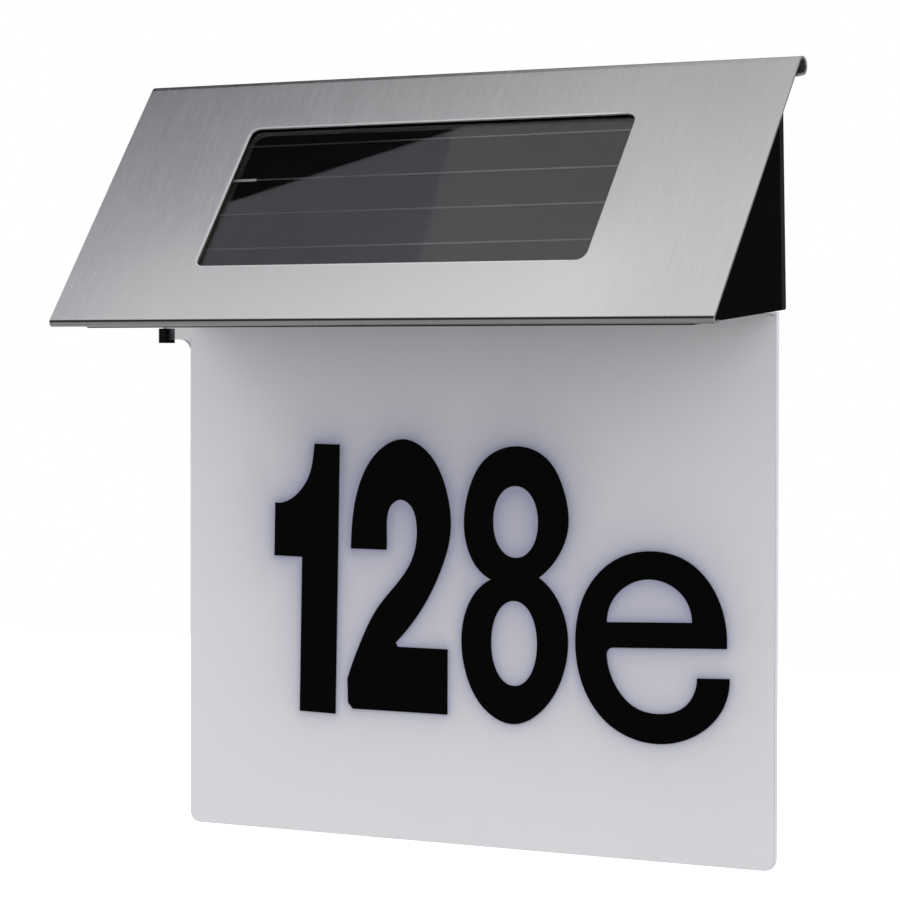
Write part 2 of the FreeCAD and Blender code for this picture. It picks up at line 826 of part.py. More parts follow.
def make_switch_body():
    middle = switch_x + switch_travel / 2
    body = box(across(switch_length, middle), (-cover_thickness - switch_depth, -cover_thickness),
               across(switch_height, battery_up))
    room = box(across(knob_length + switch_travel + 2 * slide_gap, middle),
               (-knob_below - knob_depth - slide_gap, 0), across(knob_height + 2 * slide_gap, battery_up))
    body = body.cut(room)
    for i in (-1, 0, 1):
        pin = box(across(pin_width, middle + i * pin_pitch), (-cover_thickness - switch_depth - pin_length,
                  -cover_thickness - switch_depth), across(pin_width / 2, battery_up))
        body = body.fuse(pin)
    return on_back(body)


def make_switch_knob():
    knob = box(across(knob_length, switch_x), (-knob_below - knob_depth, -knob_below),
               across(knob_height, battery_up))
    for i in (-1, 0, 1):
        x = across(knob_groove, switch_x + i * knob_groove_pitch)
        knob = knob.cut(box(x, (-knob_below - knob_groove, 0), across(far / 8, battery_up)))
    return on_back(knob)


# ---- number plate ----

def make_number_plate():
    """Clear sheet with a tongue in the housing's slot and an ear at its upper left."""
    y = (plate_front_y, plate_back_y)
    low = eave_z - plate_drop
    half = plate_width / 2
    sheet_body = box(sides(half), y, (low, shoulder_z))
    tongue = box(across(tongue_width), y, (shoulder_z - 1, tongue_top_z))
    ear = box((-half - ear_length, -half + 1), y, (eave_z - ear_drop, shoulder_z))
    body = fused([sheet_body, tongue, ear])
    for x in sides(half):
        body = round_along(body, 1, plate_corner, (x, low))
    for x in sides(tongue_width / 2):
        body = round_along(body, 1, tongue_corner, (x, tongue_top_z))
    body = round_along(body, 1, ear_fillet, (-half, eave_z - ear_drop))
    for x in sides(plate_screw_spacing / 2):
        start = (x, plate_front_y - 1, plate_screw_z)
        body = body.cut(cylinder(screw_clearance + fit_gap, start, (0, 1, 0), plate_sheet + 2))
    return body


def make_plate_film():
    slab = box(across(plate_width), (film_front_y, plate_front_y), (eave_z - plate_drop, eave_z + film_top))
    return round_along(slab, 1, plate_corner)


def make_end_buffer():
    """A small rubber clip pushed on the lower corner of the ear."""
    ear_x = -plate_width / 2 - ear_length
    ear_low = eave_z - ear_drop
    middle_y = (plate_front_y + plate_back_y) / 2
    x = (ear_x - buffer_end, ear_x - buffer_end + buffer_width)
    z = (ear_low - buffer_under, ear_low - buffer_under + buffer_height)
    block = round_along(box(x, across(buffer_depth, middle_y), z), 2, buffer_round)
    slot = box((ear_x - buffer_gap, x[1]), across(plate_sheet + 2 * buffer_gap, middle_y),
               (ear_low - buffer_gap, z[1]))
    return block.cut(slot)


# ---- stuck-on characters ----
# Each is drawn flat, X to the right and Y up, in hundredths of the figures' height, from its lower
# right corner or its middle, and is then turned by the small angle at which it was stuck on.

figure_height = 73.5
one_foot = (-42.06, -107.2)      # lower right corner, from the middle of the plate and the eave line
one_turn_deg = -1.0
two_foot = (-6.24, -105.5)
eight_foot = (14.6, -106.9)      # middle of the foot
e_middle = (55.0, -84.7)
e_turn_deg = 1.9


def flat(x, z):
    unit = figure_height / 100
    return Vector(x * unit, 0, z * unit)


def smooth(points):
    curve = Part.BSplineCurve()
    curve.interpolate([flat(*p) for p in points])
    return curve.toShape()


def straight(points):
    return [Part.makeLine(flat(*a), flat(*b)) for a, b in zip(points, points[1:])]


def stuck_on(edges, place, turn_deg=0.0):
    """A character from its flat outline, on the film."""
    face = Part.Face(Part.Wire(edges))
    solid = face.extrude(Vector(0, -character, 0))
    solid.rotate(Vector(0, 0, 0), Vector(0, 1, 0), -turn_deg)
    solid.translate(Vector(place[0], film_front_y, eave_z + place[1]))
    return solid


def oval(middle, half_width, half_height, power):
    """A closed oval, squarer than an ellipse where the power is above 2."""
    points = []
    steps = 24
    for i in range(steps):
        angle = 2 * math.pi * i / steps
        c, s = math.cos(angle), math.sin(angle)
        x = middle[0] + half_width * math.copysign(abs(c) ** (2 / power), c)
        z = middle[1] + half_height * math.copysign(abs(s) ** (2 / power), s)
        points.append(flat(x, z))
    curve = Part.BSplineCurve()
    curve.interpolate(points, PeriodicFlag=True)
    return stuck_on([curve.toShape()], eight_foot)


def make_digit_1():
    flag_high = (-28.4, 77.4)
    stem_top = (-11.1, 100)
    bend = smooth([flag_high, (-22.0, 78.7), (-16.6, 83.0), (-13.2, 88.4), (-11.8, 94.0), stem_top])
    edges = straight([stem_top, (0, 100), (0, 0), (-15.9, 0), (-15.9, 57.6), (-28.4, 57.6), flag_high])
    return stuck_on(edges + [bend], one_foot, one_turn_deg)


def make_digit_2():
    arm_left = (-41.9, 59.3)
    arm_right = (-26.5, 59.3)
    notch = (-22.3, 25.3)
    knee = (-43.4, 10.9)
    inner = smooth([arm_right, (-26.3, 69.4), (-24.3, 75.8), (-20.1, 77.8), (-15.8, 75.6), (-13.3, 69.0),
                    (-15.4, 55.8), (-29.9, 38.1), (-37.6, 24.9), knee])
    outer = smooth([notch, (-10.9, 38.3), (-2.9, 52.6), (1.1, 66.0), (-0.6, 81.5), (-8.4, 95.1),
                    (-18.9, 100), (-30.5, 95.0), (-38.0, 83.7), (-41.5, 67.3), arm_left])
    foot = straight([knee, (-43.1, 2.2), (-41.1, 0), (0, 0), (0, 23.8), (-21.5, 23.8), notch])
    arm = straight([arm_left, arm_right])
    return stuck_on([inner] + foot + [outer] + arm, two_foot)


def make_digit_8():
    waist_left = (-10.1, 51.8)
    waist_right = (9.9, 53.1)
    upper = smooth([waist_left, (-17.2, 57.6), (-21.1, 68.0), (-19.8, 82.5), (-12.8, 94.9), (0.6, 100),
                    (13.3, 95.5), (20.4, 83.5), (21.8, 70.5), (17.7, 60.8), waist_right])
    lower = smooth([waist_right, (17.3, 45.9), (21.8, 33.5), (20.2, 19.5), (12.3, 6.4), (-0.5, 0),
                    (-13.3, 5.5), (-20.6, 18.0), (-22.2, 32.5), (-18.2, 44.6), waist_left])
    upper_eye = oval((0.2, 72.8), 9.4, 12.9, 2.1)
    lower_eye = oval((-0.3, 29.1), 9.6, 15.3, 2.1)
    return stuck_on([upper, lower], eight_foot).cut(upper_eye).cut(lower_eye)


def make_letter_e():
    bar_right = (30.2, -0.3)
    bar_left = (-14.7, -0.3)
    end_right = (31.0, -10.7)
    end_left = (18.4, -10.7)
    corner = (-17.4, -3.3)
    outer = smooth([bar_right, (30.0, 8.0), (25.7, 20.2), (16.6, 29.6), (1.4, 33.7), (-13.1, 30.6),
                    (-25.0, 19.6), (-29.9, 2.0), (-27.8, -12.6), (-18.7, -26.3), (-3.6, -33.4),
                    (13.6, -32.2), (25.7, -24.4), end_right])
    mouth = smooth([end_left, (17.3, -15.5), (14.6, -19.5), (10.1, -22.3), (4.1, -23.4), (-6.4, -21.4),
                    (-14.3, -13.5), corner])
    turn = Part.Arc(flat(*corner), flat(-16.7, -1.1), flat(*bar_left)).toShape()
    edges = [outer] + straight([end_right, end_left]) + [mouth, turn] + straight([bar_left, bar_right])
    body = stuck_on(edges, e_middle, e_turn_deg)
    eye_left = (-17.0, 8.7)
    eye_right = (17.0, 8.7)
    eye = smooth([eye_right, (12.4, 19.3), (0, 23.8), (-12.4, 18.8), eye_left])
    return body.cut(stuck_on([eye] + straight([eye_left, eye_right]), e_middle, e_turn_deg))


# ---- leads ----

def tube(route, radius):
    """A lead along a route: straight runs joined by the largest arcs that the runs allow."""
    points = [Vector(*p) for p in route]
    edges = []
    start = points[0]
    tightest = far
    for before, corner, after in zip(points, points[1:], points[2:]):
        come = corner - before
        go = after - corner
        half = come.getAngle(go) / 2
        reach = bend_share * min(come.Length, go.Length)
        tightest = min(tightest, reach / math.tan(half))
        come.normalize()
        go.normalize()
        enter = corner - come * reach
        leave = corner + go * reach
        bisector = (go - come).normalize()
        depth = (reach / math.tan(half)) * (1 / math.cos(half) - 1)
        edges.append(Part.makeLine(start, enter))
        edges.append(Part.Arc(enter, corner + bisector * depth, leave).toShape())
        start = leave
    edges.append(Part.makeLine(start, points[-1]))
    path = Part.Wire(edges)
    direction = (points[1] - points[0]).normalize()
    profile = Part.Wire(Part.makeCircle(radius, points[0], direction))
    solid = path.makePipeShell([profile], True, False)
    print("lead radius %.1f, volume / section x length %.4f"
          % (tightest, solid.Volume / (math.pi * radius ** 2 * path.Length)))
    return solid


def solar_lead(x):
    """From the back of the solar panel down and back onto the board."""
    up = panel_middle - panel_height / 2 + tray_ledge + 9
    start = slope_point(x, up, panel_back_depth)
    leave = slope_point(x, up, panel_back_depth + 5)
    land_y = board_middle_y() + 1
    return [start, leave, (x, leave[1] + 7, leave[2] + 1), (x, leave[1] + 13, leave[2] + 5),
            (x, land_y - 7.5, board_top_z + 5.6), (x, land_y - 3.4, board_top_z + 6.4),
            (x, land_y, board_top_z + 4), (x, land_y, board_top_z)]


def battery_lead(side):
    """From a contact's tab down onto the board."""
    start = back_point((bay_half + contact_tab + lead_air) * side, contact_y(), battery_up)
    x, y, z = start
    step = z - board_top_z
    return [start, (x + 4 * side, y + 0.4, z - 0.6), (x + 6.5 * side, y + 2, z - 0.32 * step),
            (x + 6.8 * side, y + 4, z - 0.65 * step), (x + 6.8 * side, y + 4, board_top_z)]


def switch_lead(side):
    """From an outer pin of the switch down onto the board."""
    x = switch_x + switch_travel / 2 + side * pin_pitch
    start = back_point(x, -cover_thickness - switch_depth - pin_length - lead_air, battery_up)
    y, z = start[1], start[2]
    return [start, (x, y - 3.2, z - 0.13), (x, y - 5.3, z - 2.2), (x, y - 5.3, board_top_z)]


solar_lead_minus_x = solar_lead_inset - panel_length / 2
solar_lead_plus_x = solar_lead_minus_x + solar_lead_spacing

nodes = {
    "roof_plate": make_roof_plate,
    "foam_tape": make_foam_tape,
    "solar_gasket": make_solar_gasket,
    "solar_cover": make_solar_cover,
    "solar_cells": make_solar_cells,
    "solar_ribbons": make_solar_ribbons,
    "solar_backboard": make_solar_backboard,
    "housing_shell": make_housing_shell,
    "back_cover": make_back_cover,
    "cover_screws": make_cover_screws,
    "battery_door": make_battery_door,
    "battery_cell": make_battery_cell,
    "plus_contact": make_plus_contact,
    "spring_contact": make_spring_contact,
    "switch_body": make_switch_body,
    "switch_knob": make_switch_knob,
    "led_board": make_led_board,
    "leds": make_leds,
    "driver_chip": make_driver_chip,
    "coil": make_coil,
    "capacitor": make_capacitor,
    "board_screws": make_board_screws,
    "light_bar": make_light_bar,
    "number_plate": make_number_plate,
    "plate_film": make_plate_film,
    "plate_screws": make_plate_screws,
    "end_buffer": make_end_buffer,
    "digit_1": make_digit_1,
    "digit_2": make_digit_2,
    "digit_8": make_digit_8,
    "letter_e": make_letter_e,
    "lead_solar_plus": lambda: tube(solar_lead(solar_lead_plus_x), lead_radius),
    "lead_solar_minus": lambda: tube(solar_lead(solar_lead_minus_x), lead_radius),
    "lead_battery_plus": lambda: tube(battery_lead(1), lead_radius),
    "lead_battery_minus": lambda: tube(battery_lead(-1), lead_radius),
    "lead_switch_in": lambda: tube(switch_lead(-1), lead_radius),
    "lead_switch_out": lambda: tube(switch_lead(1), lead_radius),
}

os.makedirs("parts", exist_ok=True)
for name, make in nodes.items():
    shape = make()
    if isinstance(shape, list):
        shape = Part.makeCompound(shape)
    print(name, len(shape.Solids), "solids, valid", shape.isValid(), "volume %.1f" % shape.Volume)
    shape.exportStep("parts/%s.step" % name)
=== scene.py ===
"""Looks of the house number sign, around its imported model. Metres, +Z up, +Y into the wall."""

import math

import bmesh
import bpy
from mathutils import Matrix, Vector
from mathutils.bvhtree import BVHTree


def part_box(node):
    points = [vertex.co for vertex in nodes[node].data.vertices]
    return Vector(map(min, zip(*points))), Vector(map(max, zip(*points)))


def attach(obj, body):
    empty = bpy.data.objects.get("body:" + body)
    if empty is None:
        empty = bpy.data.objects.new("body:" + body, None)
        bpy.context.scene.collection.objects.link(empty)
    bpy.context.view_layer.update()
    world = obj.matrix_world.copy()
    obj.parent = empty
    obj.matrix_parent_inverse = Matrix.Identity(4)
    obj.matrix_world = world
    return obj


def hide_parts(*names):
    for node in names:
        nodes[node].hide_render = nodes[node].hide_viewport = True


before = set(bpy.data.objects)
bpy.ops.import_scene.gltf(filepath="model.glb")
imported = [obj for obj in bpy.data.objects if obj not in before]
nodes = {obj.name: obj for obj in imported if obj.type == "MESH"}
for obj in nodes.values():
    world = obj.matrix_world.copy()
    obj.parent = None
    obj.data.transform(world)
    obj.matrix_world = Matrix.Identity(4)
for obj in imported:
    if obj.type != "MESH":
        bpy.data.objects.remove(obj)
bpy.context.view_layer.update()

MM = 0.001
SLOPE = math.radians(54.4)                   # rise of the roof
EAVE = Vector((0, -0.0565, -0.036))          # a point of the line where the roof ends in its lip
LIP_TOP = -0.0342                            # height under which the roof is its lip
WINDOW = Vector((-0.0008, -0.0329, -0.003))  # middle of the roof's window
WINDOW_HALF = (0.05925, 0.02325)             # half its width, half its run up the slope
WINDOW_CORNER = 0.0028                       # rounding of its corners
COVER_DEPTH = 0.0012                         # face of the solar cover under the face of the roof
TAB_RUN = 0.0478                             # run from the eave to the ribbon with a bright tab
FILM_CORNER = 0.003                          # rounding of the white film's corners
CHARACTERS = ("digit_1", "digit_2", "digit_8", "letter_e")


# ---- node expressions ----

def grey(value):
    return (value, value, value)


class Mask:
    """A number that varies over a surface: arithmetic on it adds Math nodes."""

    def __init__(self, shade, socket):
        self.shade = shade
        self.socket = socket

    def math(self, operation, *values):
        return self.shade.node("ShaderNodeMath", {"operation": operation}, dict(enumerate(values)))

    def __add__(self, other):
        return self.math("ADD", self, other)

    __radd__ = __add__

    def __sub__(self, other):
        return self.math("SUBTRACT", self, other)

    def __rsub__(self, other):
        return self.math("SUBTRACT", other, self)

    def __mul__(self, other):
        return self.math("MULTIPLY", self, other)

    def __lt__(self, other):
        return self.math("LESS_THAN", self, other)

    def either(self, other):
        """The larger of the two: 1 where one of two masks is 1."""
        return self.math("MAXIMUM", self, other)

    def size(self):
        """The number without its sign."""
        return self.math("ABSOLUTE", self)

    def hypot(self, other):
        """The root of the sum of both squares."""
        return self.math("POWER", self * self + other * other, 0.5)

    def waves(self, radians):
        """A sine wave with this many radians to the metre."""
        return self.math("SINE", self * radians)

    def fade(self, low, high):
        """0 at low, 1 at high, smooth between."""
        return self.shade.node("ShaderNodeMapRange", {"interpolation_type": "SMOOTHSTEP"},
                               {"Value": self, "From Min": low, "From Max": high})


class Shade:
    """A node tree with one shader: sets the shader's sockets and makes the nodes before it."""

    def __init__(self, tree, shader):
        self.tree = tree
        self.shader = shader

    def put(self, socket, value):
        if isinstance(value, Mask):
            self.tree.links.new(value.socket, socket)
        elif isinstance(value, tuple) and socket.type == "RGBA":
            socket.default_value = (*value, 1)
        else:
            socket.default_value = value

    def set(self, **sockets):
        for name, value in sockets.items():
            self.put(self.shader.inputs[name.replace("_", " ")], value)
        return self

    def node(self, kind, settings=None, inputs=None, output=0):
        made = self.tree.nodes.new(kind)
        for name, value in (settings or {}).items():
            setattr(made, name, value)
        for name, value in (inputs or {}).items():
            self.put(made.inputs[name], value)
        return Mask(self, made.outputs[output])

    def split(self, vector):
        """The three parts of a vector."""
        parts = self.tree.nodes.new("ShaderNodeSeparateXYZ")
        self.put(parts.inputs[0], vector)
        return [Mask(self, part) for part in parts.outputs]

    def background_rays(self):
        """1 for the rays that show the white background: the camera's, metal's and glass's."""
        camera_ray, glossy_ray, clear_ray = (
            self.node("ShaderNodeLightPath", output=f"Is {kind} Ray")
            for kind in ("Camera", "Glossy", "Transmission"))
        return camera_ray.either(glossy_ray).either(clear_ray)

    def place(self):
        """Where the surface is, in the model's own frame."""
        return self.node("ShaderNodeTexCoord", output="Object")

    def position(self):
        """The parts x, y and z of the place."""
        return self.split(self.place())

    def direction(self):
        """Where the surface faces."""
        return self.node("ShaderNodeNewGeometry", output="Normal")

    def facing(self):
        """The parts x, y and z of the direction."""
        return self.split(self.direction())

    def rounded(self, radius):
        """The direction with the edges rounded off."""
        return self.node("ShaderNodeBevel", {"samples": 4}, {"Radius": radius})

    def edge(self, radius):
        """1 along edges that a rounding of this radius would take off, 0 on open faces."""
        same = self.node("ShaderNodeVectorMath", {"operation": "DOT_PRODUCT"},
                         {0: self.rounded(radius), 1: self.direction()}, "Value")
        return (1 - same).fade(0.01, 0.2)

    def noise(self, scale, detail, roughness=0.5, vector=None):
        """Clouds, this many to the metre."""
        return self.node("ShaderNodeTexNoise", {}, {
            "Vector": vector or self.place(), "Scale": scale,
            "Detail": detail, "Roughness": roughness})

    def streaks(self, sizes, detail, roughness=0.5, turn=0):
        """Clouds of these sizes along axes that are turned about X."""
        turned = self.node("ShaderNodeMapping", {"vector_type": "TEXTURE"}, {
            "Vector": self.place(), "Rotation": (turn, 0, 0), "Scale": sizes})
        return self.noise(1, detail, roughness, turned)

    def cells(self, scale):
        """Round pits, this many to the metre."""
        return self.node("ShaderNodeTexVoronoi", {}, {"Vector": self.place(), "Scale": scale},
                         "Distance")

    def blend(self, mask, first, second):
        """The first colour where the mask is 0, the second where it is 1."""
        return self.node("ShaderNodeMix", {"data_type": "RGBA"}, {0: mask, 6: first, 7: second}, 2)

    def bump(self, height, depth, strength, rounding=None):
        """Fine relief of the surface, with its edges rounded off."""
        inputs = {"Height": height, "Distance": depth, "Strength": strength}
        if rounding:
            inputs["Normal"] = self.rounded(rounding)
        return self.set(Normal=self.node("ShaderNodeBump", {}, inputs))


class Finish(Shade):
    """A surface finish."""

    def __init__(self, name, **sockets):
        self.material = bpy.data.materials.new(name)
        self.material.use_nodes = True
        tree = self.material.node_tree
        super().__init__(tree, tree.nodes["Principled BSDF"])
        self.set(**sockets)

    def second_skin(self, mask, **sockets):
        """Another surface that shows where the mask is 1."""
        other = Shade(self.tree, self.tree.nodes.new("ShaderNodeBsdfPrincipled")).set(**sockets)
        mix = self.tree.nodes.new("ShaderNodeMixShader")
        self.put(mix.inputs[0], mask)
        self.tree.links.new(self.shader.outputs[0], mix.inputs[1])
        self.tree.links.new(other.shader.outputs[0], mix.inputs[2])
        self.tree.links.new(mix.outputs[0], self.tree.nodes["Material Output"].inputs["Surface"])
        return other

    def on(self, *names):
        """Put the finish on CAD nodes."""
        for name in names:
            for slot in nodes[name].material_slots:
                slot.material = self.material


# ---- camera ----

def add(name, data):
    """A new object of the scene."""
    made = bpy.data.objects.new(name, data)
    bpy.context.scene.collection.objects.link(made)
    return made


def aligned(right, up, back, place):
    """The matrix of an object with these axes at this place."""
    return Matrix((*zip(right, up, back, place), (0, 0, 0, 1)))


PHOTO = 900                                  # side of the photograph, in pixels
FOCAL = 3431.36                              # in pixels of the photograph
YAW, PITCH, ROLL = math.radians(31.5), -0.02501, 0.00188
STAND = Vector((0.472745, -0.785889, -0.047778))
AHEAD = Vector((-math.sin(YAW) * math.cos(PITCH), math.cos(YAW) * math.cos(PITCH), math.sin(PITCH)))
LEVEL = Vector((math.cos(YAW), math.sin(YAW), 0))
RIGHT = LEVEL * math.cos(ROLL) + LEVEL.cross(AHEAD) * math.sin(ROLL)
UP = RIGHT.cross(AHEAD)
SENSOR = 36                                  # width of the camera's sensor, in mm

camera_data = bpy.data.cameras.new("camera")
camera_data.sensor_width = SENSOR
camera_data.lens = SENSOR * FOCAL / PHOTO
camera_data.clip_start = 0.05
camera_data.clip_end = 30
camera = add("camera", camera_data)
camera.matrix_world = aligned(RIGHT, UP, -AHEAD, STAND)
bpy.context.scene.camera = camera


# ---- studio ----

def sheet_of(name, corners, finish):
    """A flat sheet of the studio."""
    mesh = bpy.data.meshes.new(name)
    mesh.from_pydata(corners, [], [(0, 1, 2, 3)])
    mesh.materials.append(finish.material)
    sheet = add(name, mesh)
    return sheet


def card(name, corners, finish):
    """A card that only shows in reflections, as in a photographer's studio."""
    sheet = sheet_of(name, corners, finish)
    sheet.visible_camera = False
    sheet.visible_diffuse = False
    sheet.visible_shadow = False


def upright_card(name, start, end, low, high, finish):
    """A card that stands over the line between two places (x, y), from one height to another."""
    card(name, [(*start, low), (*end, low), (*end, high), (*start, high)], finish)


def mirrored(x, y, reach):
    """The place that the solar cover mirrors at a pixel of the photograph, this far from it."""
    normal = Vector((0, -math.sin(SLOPE), math.cos(SLOPE)))
    sight = (AHEAD * FOCAL + RIGHT * (x - PHOTO / 2) - UP * (y - PHOTO / 2)).normalized()
    start = (EAVE - normal * COVER_DEPTH - STAND).dot(normal) / sight.dot(normal)
    leave = sight - normal * (2 * sight.dot(normal))
    return STAND + sight * start + leave * reach


def mirrored_card(name, reach, edge, towards, width, finish):
    """A card with an edge that the solar cover mirrors between two pixels of the photograph.

    It spreads from that edge as the cover mirrors the way from one pixel of towards to the other.
    """
    start, end = (mirrored(*pixel, reach) for pixel in edge)
    inner, outer = (mirrored(*pixel, reach) for pixel in towards)
    out = (outer - inner).normalized() * width
    card(name, [start, end, end + out, start + out], finish)


def softbox(name, place, size, brightness):
    """A square lamp that faces the number plate and doesn't show in reflections."""
    lamp_data = bpy.data.lights.new(name, "AREA")
    lamp_data.shape = "SQUARE"
    lamp_data.size = size
    lamp_data.energy = brightness * math.pi * size * size
    lamp = add(name, lamp_data)
    back = (place - PLATE_MIDDLE).normalized()
    side = Vector((0, 0, 1)).cross(back).normalized()
    lamp.matrix_world = aligned(side, back.cross(side), back, place)
    lamp.visible_camera = False
    lamp.visible_glossy = False


AMBIENT = 0.5                                # light of the room where the background isn't seen
FLOOR = -1.0                                 # height of the floor
FLOOR_REACH = 9                              # half its side
PLATE_MIDDLE = Vector((0, -0.005, -0.1))

world = bpy.data.worlds.new("studio")
bpy.context.scene.world = world
world.use_nodes = True
studio = Shade(world.node_tree, world.node_tree.nodes["Background"])
studio.set(Color=grey(1), Strength=studio.background_rays() * (1 - AMBIENT) + AMBIENT)

floor_finish = Finish("pale_floor", Base_Color=grey(0.9), Roughness=0.7)
floor_x, floor_y, _ = floor_finish.position()
far = floor_x.hypot(floor_y).fade(0.8, 4.0)
floor_finish.set(Emission_Color=floor_finish.blend(far, grey(0.4), grey(0.8)),
                 Emission_Strength=floor_finish.background_rays())
sheet_of("floor", [(FLOOR_REACH * x, FLOOR_REACH * y, FLOOR)
                   for x, y in ((-1, -1), (1, -1), (1, 1), (-1, 1))], floor_finish)

black_card = Finish("black_card", Base_Color=grey(0.01), Roughness=0.9, Specular_IOR_Level=0.0)
dim_sheet = Finish("dim_sheet", Base_Color=grey(0), Specular_IOR_Level=0.0,
                   Emission_Color=(0.76, 0.76, 0.82), Emission_Strength=1.0)
# over the sign: its edge is the line across the upper left corner of the solar panel
mirrored_card("card_over", reach=0.5, edge=((-244, 355), (946, -30)),
              towards=((351, 162.5), (153, -37)), width=0.7, finish=black_card)
# on the left, a dim one: its edge is the slanting line in the middle of the solar panel
mirrored_card("card_left", reach=0.8, edge=((380, 408), (492, -22)),
              towards=((436, 200), (136, 200)), width=0.5, finish=dim_sheet)
# behind the sign, on the left: the dark line along the roll of the ridge
upright_card("card_back", (-1, 0), (-1, 1.9), low=0.03, high=1.9, finish=black_card)
# behind the sign, on the right: the black side of the housing
upright_card("card_side", (-0.4, 1.1), (1.3, 0.1), low=-0.52, high=0.9, finish=black_card)

softbox("soft_left", Vector((-1.1, -0.6, 0.4)), size=1.4, brightness=1.34)
softbox("soft_right", Vector((1.1, -0.6, 0.5)), size=1.4, brightness=1.05)
softbox("soft_back", Vector((-0.7, 1.2, 0.5)), size=1.2, brightness=1.0)


# ---- the white film, as a fine mesh that knows how near the black characters are, for their painted shade ----

COLUMNS, ROWS = 150, 118                     # faces of the film's front
WAYS = 16                                    # ways in which each of its points looks for characters
SIGHT = 0.06                                 # how far it looks
DARKEST = 0.9                                # the most painted shade that they put on it


def rounded_corner(x, z, half_x, half_z):
    """A point of the film's rectangle, drawn in where the corner is round."""
    u, v = abs(x) - half_x + FILM_CORNER, abs(z) - half_z + FILM_CORNER
    if u <= 0 or v <= 0:
        return x, z
    share = max(u, v) / math.hypot(u, v)
    return (math.copysign(half_x - FILM_CORNER + u * share, x),
            math.copysign(half_z - FILM_CORNER + v * share, z))


def film_mesh(low, high):
    """The film between these corners, with a fine grid on its front."""
    half_x, half_z = (high[0] - low[0]) / 2, (high[2] - low[2]) / 2
    middle_x, middle_z = (high[0] + low[0]) / 2, (high[2] + low[2]) / 2
    grid = bmesh.new()

    def point(column, row):
        x, z = rounded_corner((2 * column / COLUMNS - 1) * half_x, (2 * row / ROWS - 1) * half_z,
                              half_x, half_z)
        return grid.verts.new((middle_x + x, low[1], middle_z + z))

    rows = [[point(column, row) for column in range(COLUMNS + 1)] for row in range(ROWS + 1)]
    for under, over in zip(rows, rows[1:]):
        for i in range(COLUMNS):
            grid.faces.new((under[i], under[i + 1], over[i + 1], over[i]))
    rim = [edge for edge in grid.edges if edge.is_boundary]
    around = bmesh.ops.extrude_edge_only(grid, edges=rim)["geom"]
    for part in around:
        if isinstance(part, bmesh.types.BMVert):
            part.co.y = high[1]
    back = [part for part in around if isinstance(part, bmesh.types.BMEdge)]
    bmesh.ops.contextual_create(grid, geom=back)
    bmesh.ops.recalc_face_normals(grid, faces=grid.faces)
    mesh = bpy.data.meshes.new("opal_film")
    grid.to_mesh(mesh)
    grid.free()
    return mesh


def faded(strength, distance, reach):
    """What is left of a strength at this distance: about a third at its reach."""
    return strength * math.exp(-distance / reach)


def mark_painted_shade(mesh, low, high):
    """Write at each point of the film how much painted shade the characters and the roof put on it.
    """
    corners, faces = [], []
    for name in CHARACTERS:
        drawn = nodes[name].data
        faces += [[len(corners) + i for i in p.vertices] for p in drawn.polygons]
        corners += [v.co for v in drawn.vertices]
    tree = BVHTree.FromPolygons(corners, faces)
    level = (min(c.y for c in corners) + max(c.y for c in corners)) / 2
    turns = [2 * math.pi * i / WAYS for i in range(WAYS)]
    ways = [Vector((math.cos(turn), 0, math.sin(turn))) for turn in turns]
    near = []
    for vertex in mesh.vertices:
        start = Vector((vertex.co.x, level, vertex.co.z))
        met = [tree.ray_cast(start, way, SIGHT)[3] for way in ways]
        walled = sum(faded(1, far_off, reach=0.011) for far_off in met if far_off is not None)
        distance = tree.find_nearest(vertex.co)[3]
        height = (vertex.co.z - low[2]) / (high[2] - low[2])
        # painted shade: a seam beside each stroke, a shade between strokes and a wide one that
        # grows upwards, a painted shadow of the roof
        seam = faded(0.38, distance, reach=0.0011)
        between = walled / WAYS * (0.4 + 0.6 * height)
        wide = faded(0.22, distance, reach=0.013) + faded(0.24, distance, reach=0.03)
        near.append(min(DARKEST, seam + between + wide * height))
    mesh.attributes.new("painted_shade_near_characters", "FLOAT", "POINT").data.foreach_set("value", near)


def film_with_painted_shade():
    """The film's mesh, in the place of its CAD node."""
    low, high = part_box("plate_film")
    mesh = film_mesh(low, high)
    mark_painted_shade(mesh, low, high)
    film = add("opal_film", mesh)
    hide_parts("plate_film")
    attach(film, "sign")
    return film


def opal_white():
    """Milky white sheet, darkened beside the black characters by painted shade and a painted roof
    shadow.
    """
    f = Finish("opal_white", Specular_IOR_Level=0.4)
    near = f.node("ShaderNodeAttribute", {"attribute_name": "painted_shade_near_characters"}, output="Fac")
    clean = f.blend(f.noise(35, 3), (0.80, 0.795, 0.83), (0.83, 0.825, 0.855))
    smear = f.streaks((0.05, 1, 0.012), 4, 0.6, turn=0.3).fade(0.45, 0.75)
    # painted shade and shadow from the film's attribute darken the clean white
    f.set(Base_Color=f.blend(near, clean, (0.28, 0.29, 0.43)), Roughness=0.21 + smear * 0.03)
    return f.bump(f.noise(90, 2), 0.15 * MM, 0.25, rounding=0.3 * MM)


# ---- outer finishes ----

ACRYLIC = 1.49                               # index of refraction of clear acrylic


